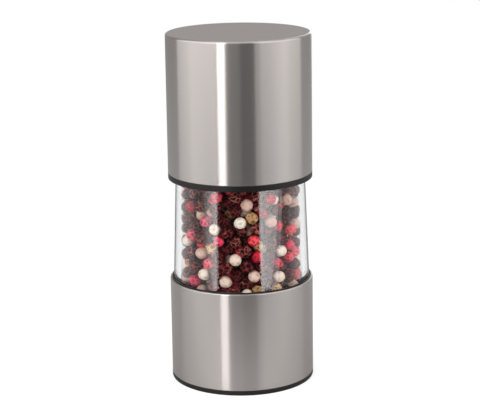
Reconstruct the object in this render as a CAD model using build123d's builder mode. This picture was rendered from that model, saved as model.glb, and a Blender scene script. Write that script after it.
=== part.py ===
from build123d import *
import math
import os

import numpy as np

# Hand-turned pepper mill: a steel cap turns a square spindle that runs down through a clear pepper chamber
# to a ceramic burr set in the base. Millimetres, +Z up, axis on Z, foot on Z = 0.

# Outside of the mill, from the foot upwards
mill_diameter = 55.0
foot_height = 1.9
sleeve_height = 37.8
collar_rise = 0.45
window_height = 38.6
cap_ring_height = 2.25
cap_shell_height = 53.1
cap_edge_radius = 0.9
sheet_thickness = 0.6
foot_edge_radius = 0.5
edge_break = 0.15
ring_edge_radius = 0.25
sleeve_rim_width = 0.8
sleeve_edge_radius = 0.4

# Clearances
assembly_gap = 0.05
running_gap = 0.25
journal_gap = 0.04
square_gap = 0.06
end_gap = 0.3

# Clear container
container_wall = 2.5
container_draft = 2.1
chamber_draft = 1.0
collar_wall = 0.4
collar_depth = 1.95
spigot_length = 7.0
neck_height = 15.0
rim_radius = 0.5

# Base housing, seal and foot
housing_wall = 1.5
ledge_width = 4.7
ledge_thickness = 3.5
seal_thickness = 1.0
seal_inset = 0.2
foot_spigot_height = 4.0
foot_spigot_wall = 2.0
outlet_diameter = 41.0

# Cap liner, its socket and its grip ring
web_thickness = 2.0
liner_wall = 1.2
hub_wall = 1.8
socket_width = 11.0
socket_length = 14.0
rib_count = 6
rib_thickness = 1.6
rib_height = 9.0
grip_ring_section = 1.0
grip_ring_rise = 8.0
grip_ring_gap = 0.08

# Spindle
spindle_width = 6.0
spindle_top_chamfer = 0.8
socket_engagement = 12.0
drive_width = 4.2
thread_diameter = 4.0
thread_length = 4.8
clip_groove_depth = 0.7
clip_thickness = 0.8
clip_diameter = 10.6
clip_mouth = 3.6

# Bridge, funnel and seat of the fixed burr
flange_thickness = 3.0
throat_wall = 1.5
seat_roof = 2.0
seat_wall = 2.0
bridge_height = 4.5
bridge_arms = 3
arm_width = 3.6
bridge_hub_diameter = 13.0
bush_wall = 1.2
bush_flange_diameter = 12.0
bush_flange_thickness = 1.0

# Burrs
stator_diameter = 32.0
stator_height = 12.0
mouth_diameter = 26.0
throat_diameter = 23.4
exit_diameter = 28.6
fine_height = 4.5
burr_gap = 0.5
rotor_top_diameter = 16.8
rotor_rise = 0.3
rotor_drop = 0.5
burr_lift = 0.5
fine_teeth = 30
fine_tooth_depth = 0.5
tooth_run_out = 1.2
flute_count = 6
flute_diameter = 4.4
flute_depth = 1.0
flute_rise = 0.6
stator_flute_count = 8

# Hub of the turning burr, its spring and its washers
hub_width = 12.0
hub_flange_diameter = 18.0
hub_flange_thickness = 1.4
vane_count = 3
vane_height = 1.5
vane_width = 1.6
spring_pocket_depth = 5.5
spring_pocket_diameter = 9.6
spring_wire = 0.8
spring_mean_diameter = 8.0
spring_turns = 4
washer_thickness = 0.6
washer_diameter = 9.2
thrust_washer_thickness = 0.8
thrust_washer_diameter = 11.0

# Ring that holds the fixed burr
retainer_lip = 1.5
retainer_wall = 1.5
retainer_height = 5.0
retainer_overlap = 1.1

# Screws of the frame
screw_count = 3
screw_diameter = 2.5
screw_head_diameter = 3.6
screw_head_height = 1.6
screw_bite = 2.8
screw_slot_width = 0.6
screw_slot_length = 2.2
screw_slot_depth = 0.8

# Grind adjuster under the mill
knob_diameter = 17.0
knob_height = 5.0
knob_grips = 10
knob_grip_diameter = 3.0
knob_edge = 0.6
insert_diameter = 6.4
insert_length = 4.4

# Filling of peppercorns
black_diameter = 4.7
white_diameter = 4.5
pink_diameter = 4.6
green_diameter = 4.4
grain_gap = 0.12
spindle_sweep_gap = 0.3
fill_rise = 3.0
grain_seed = 11
wall_tries = 40
inner_tries = 60

# Radii and heights that follow from the sizes above
mill_radius = mill_diameter / 2
sleeve_inner_radius = mill_radius - sheet_thickness
housing_radius = sleeve_inner_radius - assembly_gap
housing_inner_radius = housing_radius - housing_wall
sleeve_rim_radius = mill_radius - sleeve_rim_width
collar_radius = sleeve_rim_radius - assembly_gap
container_foot_radius = collar_radius - collar_wall - assembly_gap
spigot_radius = housing_inner_radius - assembly_gap
ledge_radius = housing_inner_radius - ledge_width
throat_outer_radius = ledge_radius - assembly_gap
funnel_radius = throat_outer_radius - throat_wall
container_slope = math.tan(math.radians(container_draft))
chamber_slope = math.tan(math.radians(chamber_draft))

sleeve_top = foot_height + sleeve_height
sleeve_rim_bottom = sleeve_top - sheet_thickness
collar_top = sleeve_top + collar_rise
cap_bottom = collar_top + window_height
shell_bottom = cap_bottom + cap_ring_height
mill_height = shell_bottom + cap_shell_height
container_seat = collar_top - collar_depth
spigot_bottom = container_seat - spigot_length
neck_top = cap_bottom + neck_height
ledge_top = spigot_bottom - seal_thickness
ledge_bottom = ledge_top - ledge_thickness
flange_bottom = ledge_bottom - flange_thickness

web_bottom = neck_top + end_gap
web_top = web_bottom + web_thickness
liner_top = mill_height - sheet_thickness - cap_edge_radius
spindle_top = web_top + socket_engagement

stator_radius = stator_diameter / 2
stator_top = flange_bottom - seat_roof
stator_bottom = stator_top - stator_height
mouth_radius = mouth_diameter / 2
burr_throat_radius = throat_diameter / 2
exit_radius = exit_diameter / 2
fine_top = stator_bottom + fine_height
fine_slope = (exit_radius - burr_throat_radius) / fine_height
seat_radius = stator_radius + assembly_gap
seat_outer_radius = seat_radius + seat_wall
retainer_bottom = stator_bottom - retainer_lip
retainer_radius = seat_outer_radius + assembly_gap + retainer_wall

bridge_bottom = ledge_top - bridge_height
bush_radius = spindle_width / 2 + journal_gap + bush_wall
bush_top = ledge_top + bush_flange_thickness
spindle_shoulder = bush_top + journal_gap
clip_top = bridge_bottom - 2 * journal_gap
clip_bottom = clip_top - clip_thickness
washer_bottom = clip_bottom - washer_thickness
rotor_top = stator_top + rotor_rise
rotor_bottom = stator_bottom - rotor_drop
pocket_floor = rotor_top - spring_pocket_depth
hub_bottom = rotor_bottom - hub_flange_thickness
thrust_washer_bottom = hub_bottom - thrust_washer_thickness
knob_bottom = thrust_washer_bottom - knob_height


def container_radius(height):
    """Outer radius of the tapered container at a height."""
    return container_foot_radius - (height - container_seat) * container_slope


def chamber_radius(height):
    """Inner radius of the tapered container at a height."""
    return container_foot_radius - container_wall - (height - container_seat) * chamber_slope


def write(piece, name):
    """Label a finished piece and write it as its own STEP file."""
    piece.part.label = name
    export_step(piece.part, f"parts/{name}.step")


os.makedirs("parts", exist_ok=True)

# Steel cap: a drawn cup, open at its lower end
with BuildPart() as cap_shell:
    with BuildSketch(Plane.XY.offset(shell_bottom)):
        Circle(mill_radius)
    extrude(amount=cap_shell_height)
    fillet(cap_shell.faces().sort_by(Axis.Z)[-1].edges(), cap_edge_radius)
    offset(amount=-sheet_thickness, openings=cap_shell.faces().sort_by(Axis.Z)[0])
    fillet(cap_shell.faces().sort_by(Axis.Z)[0].outer_wire().edges(), edge_break)
write(cap_shell, "cap_shell")

# Soft ring in a groove of the liner, gripping the container's neck
grip_ring_height = cap_bottom + grip_ring_rise
grip_ring_radius = container_radius(grip_ring_height) + grip_ring_gap + grip_ring_section / 2
with BuildPart() as cap_grip_ring:
    with BuildSketch(Plane.XZ):
        with Locations((grip_ring_radius, grip_ring_height)):
            Circle(grip_ring_section / 2)
    revolve(axis=Axis.Z)
write(cap_grip_ring, "cap_grip_ring")

# Black liner of the cap: flange ring, skirt over the neck, web over the mouth, ribbed hub for the socket
liner_bore_radius = container_radius(cap_bottom) + running_gap
groove_radius = grip_ring_radius + grip_ring_section / 2 + assembly_gap
groove_half = grip_ring_section / 2 + assembly_gap
hub_hexagon_radius = (socket_width / 2 + assembly_gap) / math.cos(math.pi / 6)
liner_hub_radius = hub_hexagon_radius + hub_wall
web_hole_radius = spindle_width / math.sqrt(2) + running_gap
socket_top = web_top + socket_length
with BuildPart() as cap_liner:
    with BuildSketch(Plane.XZ):
        Polygon(
            (liner_bore_radius, cap_bottom),
            (mill_radius, cap_bottom),
            (mill_radius, shell_bottom),
            (housing_radius, shell_bottom),
            (housing_radius, liner_top),
            (housing_radius - liner_wall, liner_top),
            (housing_radius - liner_wall, web_top),
            (liner_hub_radius, web_top),
            (liner_hub_radius, socket_top),
            (web_hole_radius, socket_top),
            (web_hole_radius, web_bottom),
            (liner_bore_radius, web_bottom),
            align=None,
        )
        with Locations((groove_radius, grip_ring_height)):
            Rectangle(
                groove_radius - liner_bore_radius + grip_ring_section,
                2 * groove_half,
                align=(Align.MAX, Align.CENTER),
                mode=Mode.SUBTRACT,
            )
    revolve(axis=Axis.Z)
    fillet(cap_liner.edges().filter_by(GeomType.CIRCLE).group_by(SortBy.RADIUS)[-1], ring_edge_radius)
    with BuildSketch(Plane.XY.offset(web_top)):
        with PolarLocations((liner_hub_radius + housing_radius - liner_wall) / 2, rib_count):
            Rectangle(housing_radius - liner_wall - liner_hub_radius + hub_wall, rib_thickness)
    extrude(amount=rib_height)
    with BuildSketch(Plane.XY.offset(web_top)):
        RegularPolygon(hub_hexagon_radius, 6)
    extrude(amount=socket_length, mode=Mode.SUBTRACT)
write(cap_liner, "cap_liner")

# Six-sided socket in the liner's hub, with the square bore that turns the spindle
socket_bore = spindle_width + 2 * square_gap
with BuildPart() as drive_socket:
    with BuildSketch(Plane.XY.offset(web_top)):
        RegularPolygon(socket_width / 2 / math.cos(math.pi / 6), 6)
        Rectangle(socket_bore, socket_bore, mode=Mode.SUBTRACT)
    extrude(amount=socket_length)
write(drive_socket, "drive_socket")

# Clear container: wall that thins towards its rounded rim, and a spigot below the seat
spigot_inner_radius = chamber_radius(spigot_bottom)
with BuildPart() as container:
    with BuildSketch(Plane.XZ):
        Polygon(
            (spigot_inner_radius, spigot_bottom),
            (spigot_radius, spigot_bottom),
            (spigot_radius, container_seat),
            (container_foot_radius, container_seat),
            (container_radius(neck_top), neck_top),
            (chamber_radius(neck_top), neck_top),
            align=None,
        )
    revolve(axis=Axis.Z)
    fillet(container.faces().sort_by(Axis.Z)[-1].edges(), rim_radius)
write(container, "container")

# Soft ring under the container's spigot
with BuildPart() as container_seal:
    with BuildSketch(Plane.XY.offset(ledge_top)):
        Circle(spigot_radius)
        Circle(spigot_inner_radius + seal_inset, mode=Mode.SUBTRACT)
    extrude(amount=seal_thickness)
write(container_seal, "container_seal")

# Steel tube around the base, with its upper rim turned in to the collar
with BuildPart() as base_sleeve:
    with BuildSketch(Plane.XZ):
        Polygon(
            (sleeve_inner_radius, foot_height),
            (mill_radius, foot_height),
            (mill_radius, sleeve_top),
            (sleeve_rim_radius, sleeve_top),
            (sleeve_rim_radius, sleeve_rim_bottom),
            (sleeve_inner_radius, sleeve_rim_bottom),
            align=None,
        )
    revolve(axis=Axis.Z)
    sleeve_edges = base_sleeve.edges().filter_by(GeomType.CIRCLE).group_by(SortBy.RADIUS)[-1].sort_by(Axis.Z)
    fillet(sleeve_edges[-1], sleeve_edge_radius)
    fillet(sleeve_edges[0], edge_break)
write(base_sleeve, "base_sleeve")

# Black body of the base: tube under the sleeve's rim, ledge inside, and a thin collar that rises past the rim
screw_circle_radius = (ledge_radius + housing_inner_radius) / 2
screw_radius = screw_diameter / 2
with BuildPart() as base_housing:
    with BuildSketch(Plane.XZ):
        Polygon(
            (housing_inner_radius, foot_height),
            (housing_radius, foot_height),
            (housing_radius, sleeve_rim_bottom - assembly_gap),
            (collar_radius, sleeve_rim_bottom - assembly_gap),
            (collar_radius, collar_top),
            (container_foot_radius + assembly_gap, collar_top),
            (container_foot_radius + assembly_gap, container_seat),
            (housing_inner_radius, container_seat),
            (housing_inner_radius, ledge_top),
            (ledge_radius, ledge_top),
            (ledge_radius, ledge_bottom),
            (housing_inner_radius, ledge_bottom),
            align=None,
        )
    revolve(axis=Axis.Z)
    with BuildSketch(Plane.XY.offset(ledge_bottom)):
        with PolarLocations(screw_circle_radius, screw_count):
            Circle(screw_radius + assembly_gap)
    extrude(amount=screw_bite + assembly_gap, mode=Mode.SUBTRACT)
write(base_housing, "base_housing")

# Foot: the black ring on the table, with a spigot pushed up into the housing
with BuildPart() as foot_ring:
    with BuildSketch(Plane.XZ):
        Polygon(
            (outlet_diameter / 2, 0),
            (mill_radius, 0),
            (mill_radius, foot_height),
            (housing_inner_radius - assembly_gap, foot_height),
            (housing_inner_radius - assembly_gap, foot_height + foot_spigot_height),
            (housing_inner_radius - assembly_gap - foot_spigot_wall, foot_height + foot_spigot_height),
            (housing_inner_radius - assembly_gap - foot_spigot_wall, foot_height),
            (outlet_diameter / 2, foot_height),
            align=None,
        )
    revolve(axis=Axis.Z)
    fillet(foot_ring.faces().sort_by(Axis.Z)[0].edges(), foot_edge_radius)
    foot_edges = foot_ring.edges().filter_by(GeomType.CIRCLE).group_by(SortBy.RADIUS)[-1]
    fillet(foot_edges.sort_by(Axis.Z)[-1], edge_break)
write(foot_ring, "foot_ring")

# Frame of the grinder: funnel, flange under the ledge, seat tube of the fixed burr, bridge with its hub
arm_reach = funnel_radius + throat_wall / 2
bridge_hub_radius = bridge_hub_diameter / 2
with BuildPart() as grinder_frame:
    with BuildSketch(Plane.XZ):
        Polygon(
            (funnel_radius, ledge_top),
            (throat_outer_radius, ledge_top),
            (throat_outer_radius, ledge_bottom),
            (housing_inner_radius - assembly_gap, ledge_bottom),
            (housing_inner_radius - assembly_gap, flange_bottom),
            (seat_outer_radius, flange_bottom),
            (seat_outer_radius, stator_bottom),
            (seat_radius, stator_bottom),
            (seat_radius, stator_top),
            (mouth_radius, stator_top),
            align=None,
        )
    revolve(axis=Axis.Z)
    with BuildSketch(Plane.XY.offset(bridge_bottom)) as bridge:
        Circle(bridge_hub_radius)
        with PolarLocations(arm_reach / 2, bridge_arms):
            Rectangle(arm_reach, arm_width)
        Circle(bush_radius + assembly_gap, mode=Mode.SUBTRACT)
    extrude(amount=bridge_height)
    with BuildSketch(Plane.XY.offset(flange_bottom)):
        with PolarLocations(screw_circle_radius, screw_count):
            Circle(screw_radius + assembly_gap)
    extrude(amount=flange_thickness, mode=Mode.SUBTRACT)
write(grinder_frame, "grinder_frame")

# Flanged bearing of the spindle, in the hub of the bridge
with BuildPart() as bridge_bush:
    with BuildSketch(Plane.XY.offset(bridge_bottom)):
        Circle(bush_radius)
    extrude(amount=bridge_height)
    with BuildSketch(Plane.XY.offset(ledge_top)):
        Circle(bush_flange_diameter / 2)
    extrude(amount=bush_flange_thickness)
    with BuildSketch(Plane.XY.offset(bridge_bottom)):
        Circle(spindle_width / 2 + journal_gap)
    extrude(amount=bush_top - bridge_bottom, mode=Mode.SUBTRACT)
write(bridge_bush, "bridge_bush")

# Screws that hold the frame under the ledge, with cross slots
with BuildPart() as grinder_screws:
    with BuildSketch(Plane.XY.offset(flange_bottom - screw_head_height)):
        with PolarLocations(screw_circle_radius, screw_count):
            Circle(screw_head_diameter / 2)
    extrude(amount=screw_head_height)
    with BuildSketch(Plane.XY.offset(flange_bottom)):
        with PolarLocations(screw_circle_radius, screw_count):
            Circle(screw_radius)
    extrude(amount=flange_thickness + screw_bite)
    with BuildSketch(Plane.XY.offset(flange_bottom - screw_head_height)):
        with PolarLocations(screw_circle_radius, screw_count):
            Rectangle(screw_slot_length, screw_slot_width)
            Rectangle(screw_slot_width, screw_slot_length)
    extrude(amount=screw_slot_depth, mode=Mode.SUBTRACT)
write(grinder_screws, "grinder_screws")

# V-shaped tooth gaps lie along the fine cone, from its wide lower end to its throat
fine_slant = math.hypot(fine_height, exit_radius - burr_throat_radius)
fine_angle = math.atan(fine_slope)
fine_direction = Vector(-math.sin(fine_angle), 0, math.cos(fine_angle))
tooth_pitch = 2 * math.pi * burr_throat_radius / fine_teeth
stator_tooth_plane = Plane(
    origin=(exit_radius, 0, stator_bottom),
    x_dir=(math.cos(fine_angle), 0, math.sin(fine_angle)),
    z_dir=fine_direction,
)
rotor_tooth_plane = Plane(
    origin=(exit_radius - burr_gap, 0, stator_bottom),
    x_dir=stator_tooth_plane.x_dir,
    z_dir=fine_direction,
)
with BuildPart() as stator_tooth_gap:
    with BuildSketch(stator_tooth_plane.offset(-tooth_run_out)):
        Polygon(
            (fine_tooth_depth, 0),
            (-fine_tooth_depth, tooth_pitch / 2),
            (-fine_tooth_depth, -tooth_pitch / 2),
            align=None,
        )
    extrude(amount=fine_slant + 2 * tooth_run_out)
with BuildPart() as rotor_tooth_gap:
    with BuildSketch(rotor_tooth_plane.offset(-tooth_run_out)):
        Polygon(
            (-fine_tooth_depth, 0),
            (fine_tooth_depth, tooth_pitch / 2),
            (fine_tooth_depth, -tooth_pitch / 2),
            align=None,
        )
    extrude(amount=fine_slant + tooth_run_out)

# Coarse flutes run along the upper cone of each burr, and break the grains before the fine teeth
flute_radius = flute_diameter / 2
rotor_throat_radius = burr_throat_radius - burr_gap
rotor_upper_height = rotor_top - fine_top
rotor_lean = math.atan2(rotor_throat_radius - rotor_top_diameter / 2, rotor_upper_height)
stator_lean = math.atan2(mouth_radius - burr_throat_radius, stator_top - fine_top)
rotor_flute_plane = Plane(
    origin=(rotor_throat_radius, 0, fine_top),
    x_dir=(math.cos(rotor_lean), 0, math.sin(rotor_lean)),
    z_dir=(-math.sin(rotor_lean), 0, math.cos(rotor_lean)),
)
stator_flute_plane = Plane(
    origin=(burr_throat_radius, 0, fine_top),
    x_dir=(math.cos(stator_lean), 0, -math.sin(stator_lean)),
    z_dir=(math.sin(stator_lean), 0, math.cos(stator_lean)),
)
with BuildPart() as rotor_flute:
    with BuildSketch(rotor_flute_plane.offset(flute_rise)):
        with Locations((flute_radius - flute_depth, 0)):
            Circle(flute_radius)
    extrude(amount=2 * rotor_upper_height)
with BuildPart() as stator_flute:
    with BuildSketch(stator_flute_plane.offset(flute_rise)):
        with Locations((flute_depth - flute_radius, 0)):
            Circle(flute_radius)
    extrude(amount=2 * (stator_top - fine_top))

# Fixed ceramic burr: narrows to a throat, then opens again over the fine teeth
with BuildPart() as stator_burr:
    with BuildSketch(Plane.XZ):
        Polygon(
            (exit_radius, stator_bottom),
            (stator_radius, stator_bottom),
            (stator_radius, stator_top),
            (mouth_radius, stator_top),
            (burr_throat_radius, fine_top),
            align=None,
        )
    revolve(axis=Axis.Z)
    with PolarLocations(0, fine_teeth):
        add(stator_tooth_gap.part, mode=Mode.SUBTRACT)
    with PolarLocations(0, stator_flute_count):
        add(stator_flute.part, mode=Mode.SUBTRACT)
write(stator_burr, "stator_burr")

# Turning ceramic burr: a cone with a six-sided bore for its hub
hub_hexagon = hub_width / 2 / math.cos(math.pi / 6)
hub_bore_hexagon = (hub_width / 2 + assembly_gap) / math.cos(math.pi / 6)
rotor_exit_radius = exit_radius - burr_gap
with BuildPart() as rotor_burr:
    with BuildSketch(Plane.XZ):
        Polygon(
            (0, rotor_bottom),
            (rotor_exit_radius, rotor_bottom),
            (rotor_exit_radius, stator_bottom),
            (rotor_throat_radius, fine_top),
            (rotor_top_diameter / 2, rotor_top),
            (0, rotor_top),
            align=None,
        )
    revolve(axis=Axis.Z)
    with PolarLocations(0, fine_teeth):
        add(rotor_tooth_gap.part, mode=Mode.SUBTRACT)
    with PolarLocations(0, flute_count):
        add(rotor_flute.part, mode=Mode.SUBTRACT)
    with BuildSketch(Plane.XY.offset(rotor_bottom)):
        RegularPolygon(hub_bore_hexagon, 6)
    extrude(amount=rotor_top - rotor_bottom, mode=Mode.SUBTRACT)
write(rotor_burr, "rotor_burr")

# Hub of the turning burr: flange below it, spring pocket and feed vanes above it
drive_bore = drive_width + 2 * square_gap
with BuildPart() as rotor_hub:
    with BuildSketch(Plane.XY.offset(hub_bottom)):
        Circle(hub_flange_diameter / 2)
    extrude(amount=hub_flange_thickness)
    with BuildSketch(Plane.XY.offset(rotor_bottom)):
        RegularPolygon(hub_hexagon, 6)
    extrude(amount=rotor_top - rotor_bottom)
    with BuildSketch(Plane.XY.offset(rotor_top)):
        with PolarLocations((spring_pocket_diameter / 2 + rotor_top_diameter / 2) / 2, vane_count):
            Rectangle(rotor_top_diameter / 2 - spring_pocket_diameter / 2, vane_width)
    extrude(amount=vane_height)
    with BuildSketch(Plane.XY.offset(pocket_floor)):
        Circle(spring_pocket_diameter / 2)
    extrude(amount=spring_pocket_depth + vane_height, mode=Mode.SUBTRACT)
    with BuildSketch(Plane.XY.offset(hub_bottom)):
        Rectangle(drive_bore, drive_bore)
    extrude(amount=pocket_floor - hub_bottom, mode=Mode.SUBTRACT)
write(rotor_hub, "rotor_hub")

# Ring that holds the fixed burr up in its seat
with BuildPart() as stator_retainer:
    with BuildSketch(Plane.XZ):
        Polygon(
            (stator_radius - retainer_overlap, retainer_bottom),
            (retainer_radius, retainer_bottom),
            (retainer_radius, retainer_bottom + retainer_height),
            (seat_outer_radius + assembly_gap, retainer_bottom + retainer_height),
            (seat_outer_radius + assembly_gap, stator_bottom),
            (stator_radius - retainer_overlap, stator_bottom),
            align=None,
        )
    revolve(axis=Axis.Z)
write(stator_retainer, "stator_retainer")

# Spindle: square bar, round journal with a clip groove, smaller drive square, threaded end as a plain rod
thread_bottom = hub_bottom - thread_length
groove_inner_radius = spindle_width / 2 - clip_groove_depth
with BuildPart() as spindle:
    with BuildSketch(Plane.XY.offset(spindle_shoulder)):
        Rectangle(spindle_width, spindle_width)
    extrude(amount=spindle_top - spindle_shoulder)
    chamfer(spindle.faces().sort_by(Axis.Z)[-1].edges(), spindle_top_chamfer)
    with BuildSketch(Plane.XY.offset(clip_top)):
        Circle(spindle_width / 2)
    extrude(amount=spindle_shoulder - clip_top)
    with BuildSketch(Plane.XY.offset(clip_bottom)):
        Circle(groove_inner_radius)
    extrude(amount=clip_thickness)
    with BuildSketch(Plane.XY.offset(hub_bottom)):
        Rectangle(drive_width, drive_width)
    extrude(amount=clip_bottom - hub_bottom)
    with BuildSketch(Plane.XY.offset(thread_bottom)):
        Circle(thread_diameter / 2)
    extrude(amount=thread_length)
write(spindle, "spindle")

# Open clip in the spindle's groove, under the bridge
clip_plane = Plane.XY.offset(clip_bottom)
with BuildPart() as spindle_clip:
    with BuildSketch(clip_plane):
        Circle(clip_diameter / 2)
        Circle(groove_inner_radius + assembly_gap, mode=Mode.SUBTRACT)
        Rectangle(clip_diameter, clip_mouth, align=(Align.MIN, Align.CENTER), mode=Mode.SUBTRACT)
    extrude(amount=clip_thickness)
write(spindle_clip, "spindle_clip")

# Seat of the spring under the clip
drive_corner = drive_width / math.sqrt(2)
with BuildPart() as spring_washer:
    with BuildSketch(Plane.XY.offset(washer_bottom)):
        Circle(washer_diameter / 2)
        Circle(drive_corner + assembly_gap, mode=Mode.SUBTRACT)
    extrude(amount=washer_thickness)
write(spring_washer, "spring_washer")

# Washer between the hub and the adjuster
with BuildPart() as thrust_washer:
    with BuildSketch(Plane.XY.offset(thrust_washer_bottom)):
        Circle(thrust_washer_diameter / 2)
        Circle(drive_corner + assembly_gap, mode=Mode.SUBTRACT)
    extrude(amount=thrust_washer_thickness)
write(thrust_washer, "thrust_washer")

# Spring: an open helix of quarter turns, each made of two arcs that share their tangent
spring_radius = spring_mean_diameter / 2
spring_low = pocket_floor + spring_wire / 2 + assembly_gap
spring_high = washer_bottom - spring_wire / 2 - assembly_gap
spring_climb = (spring_high - spring_low) / (2 * math.pi * spring_turns)


def helix_point(angle):
    """Point of the spring's centre line at a turning angle."""
    return Vector(
        spring_radius * math.cos(angle),
        spring_radius * math.sin(angle),
        spring_low + spring_climb * angle,
    )


def helix_tangent(angle):
    """Unit tangent of the spring's centre line at a turning angle."""
    return Vector(
        -spring_radius * math.sin(angle), spring_radius * math.cos(angle), spring_climb
    ).normalized()


def shared_point(start, end, start_tangent, end_tangent):
    """Point where the two arcs between two points with set tangents join."""
    chord = end - start
    both = start_tangent + end_tangent
    bend = 2 * (1 - start_tangent.dot(end_tangent))
    reach = (math.sqrt(chord.dot(both) ** 2 + bend * chord.dot(chord)) - chord.dot(both)) / bend
    return (start + start_tangent * reach + end - end_tangent * reach) / 2


quarter_angles = [math.pi / 2 * step for step in range(4 * spring_turns + 1)]
with BuildPart() as grind_spring:
    with BuildLine() as spring_path:
        for low_angle, high_angle in zip(quarter_angles, quarter_angles[1:]):
            low_point = helix_point(low_angle)
            high_point = helix_point(high_angle)
            low_tangent = helix_tangent(low_angle)
            high_tangent = helix_tangent(high_angle)
            joint = shared_point(low_point, high_point, low_tangent, high_tangent)
            TangentArc(low_point, joint, tangent=low_tangent)
            TangentArc(high_point, joint, tangent=-high_tangent)
    with BuildSketch(Plane(origin=helix_point(0), z_dir=helix_tangent(0))):
        Circle(spring_wire / 2)
    sweep(path=spring_path.wire())
write(grind_spring, "grind_spring")
spring_samples = np.array([tuple(helix_point(angle)) for angle in np.linspace(0, quarter_angles[-1], 900)])
one_turn = len(spring_samples) // spring_turns
far_apart = np.abs(np.subtract.outer(np.arange(900), np.arange(900))) > one_turn // 2
sample_distances = np.linalg.norm(spring_samples[:, None] - spring_samples[None], axis=2)
print(f"spring: least gap between turns {sample_distances[far_apart].min() - spring_wire:.2f} mm")

# Adjuster knob under the mill, with finger grips and a bore for its brass thread
with BuildPart() as adjuster_knob:
    with BuildSketch(Plane.XY.offset(knob_bottom)):
        Circle(knob_diameter / 2)
    extrude(amount=knob_height)
    chamfer(adjuster_knob.faces().sort_by(Axis.Z)[0].edges(), knob_edge)
    with BuildSketch(Plane.XY.offset(knob_bottom)):
        with PolarLocations(knob_diameter / 2 + knob_grip_diameter / 4, knob_grips):
            Circle(knob_grip_diameter / 2)
    extrude(amount=knob_height, mode=Mode.SUBTRACT)
    with BuildSketch(Plane.XY.offset(thrust_washer_bottom - insert_length)):
        Circle(insert_diameter / 2 + assembly_gap)
    extrude(amount=insert_length, mode=Mode.SUBTRACT)
    with BuildSketch(Plane.XY.offset(knob_bottom)):
        Circle(thread_diameter / 2 + journal_gap)
    extrude(amount=knob_height, mode=Mode.SUBTRACT)
write(adjuster_knob, "adjuster_knob")

# Brass thread of the knob, its thread drawn as a plain bore
with BuildPart() as knob_insert:
    with BuildSketch(Plane.XY.offset(thrust_washer_bottom - insert_length)):
        Circle(insert_diameter / 2)
        Circle(thread_diameter / 2 + journal_gap, mode=Mode.SUBTRACT)
    extrude(amount=insert_length)
write(knob_insert, "knob_insert")

# Peppercorns fall one by one on the frame and on each other; the lowest place of each handful of tries is taken
grain_kinds = ("black_peppercorns", "white_peppercorns", "pink_peppercorns", "green_peppercorns")
grain_diameters = (black_diameter, white_diameter, pink_diameter, green_diameter)
grain_shares = (0.54, 0.2, 0.2, 0.06)
fill_top = cap_bottom + fill_rise
funnel_angle = math.atan2(funnel_radius - mouth_radius, ledge_top - stator_top)
vane_sweep_top = rotor_top + vane_height + burr_lift
arm_angles = np.arange(bridge_arms) * 2 * math.pi / bridge_arms


def resting_heights(x, y, reach):
    """Lowest heights of a grain's centre over the frame; reach is its radius with its gap."""
    distance = np.hypot(x, y)
    over_arm = np.zeros(len(x), dtype=bool)
    for angle in arm_angles:
        along = x * math.cos(angle) + y * math.sin(angle)
        across = np.abs(y * math.cos(angle) - x * math.sin(angle))
        over_arm |= (across < arm_width / 2 + reach) & (along > 0)
    on_cone = ledge_top + (distance - funnel_radius) / math.tan(funnel_angle) + reach / math.sin(funnel_angle)
    in_window = np.minimum(ledge_top + reach, np.maximum(vane_sweep_top + reach, on_cone))
    blocked = over_arm | (distance < bridge_hub_radius + reach)
    heights = np.where(blocked, ledge_top + reach, in_window)
    return np.where(distance < bush_flange_diameter / 2 + reach, bush_top + reach, heights)


def pour_grains():
    """Centres, radii and kinds of all grains, up to the top of the filling."""
    random = np.random.default_rng(grain_seed)
    centres = np.empty((0, 3))
    radii = np.empty(0)
    kinds = []
    level = ledge_top
    while level < fill_top:
        kind = int(random.choice(len(grain_kinds), p=grain_shares))
        radius = grain_diameters[kind] / 2
        reach = radius + grain_gap
        widest = chamber_radius(level + grain_diameters[kind]) - reach
        narrowest = spindle_width / math.sqrt(2) + reach + spindle_sweep_gap
        inner = np.sqrt(random.uniform(narrowest**2, widest**2, inner_tries))
        distance = np.concatenate([np.full(wall_tries, widest), inner])
        angle = random.uniform(0, 2 * math.pi, wall_tries + inner_tries)
        x = distance * np.cos(angle)
        y = distance * np.sin(angle)
        heights = resting_heights(x, y, reach)
        if len(radii):
            apart = np.hypot(x[:, None] - centres[:, 0], y[:, None] - centres[:, 1])
            touch = radii + reach
            above = centres[:, 2] + np.sqrt(np.maximum(touch**2 - apart**2, 0))
            heights = np.maximum(heights, np.where(apart < touch, above, 0).max(axis=1))
        best = int(heights.argmin())
        level = max(level, heights[best])
        centres = np.vstack([centres, (x[best], y[best], heights[best])])
        radii = np.append(radii, radius)
        kinds.append(kind)
    return centres, kinds


grain_centres, grain_kind_numbers = pour_grains()
for number, (kind_name, diameter) in enumerate(zip(grain_kinds, grain_diameters)):
    places = [tuple(c) for c, kind in zip(grain_centres, grain_kind_numbers) if kind == number]
    with BuildPart() as grains:
        with Locations(*places):
            Sphere(diameter / 2)
    write(grains, kind_name)
    print(f"{kind_name}: {len(places)} grains")
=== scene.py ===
"""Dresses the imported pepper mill: brushed steel, a clear window, black mouldings and mixed peppercorns.

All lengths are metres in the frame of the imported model: +Z up along the mill's axis, foot on Z = 0.
"""

import math

import bpy
import numpy as np
from bpy.props import FloatProperty, FloatVectorProperty, IntProperty, PointerProperty
from mathutils import Matrix, Vector


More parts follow.
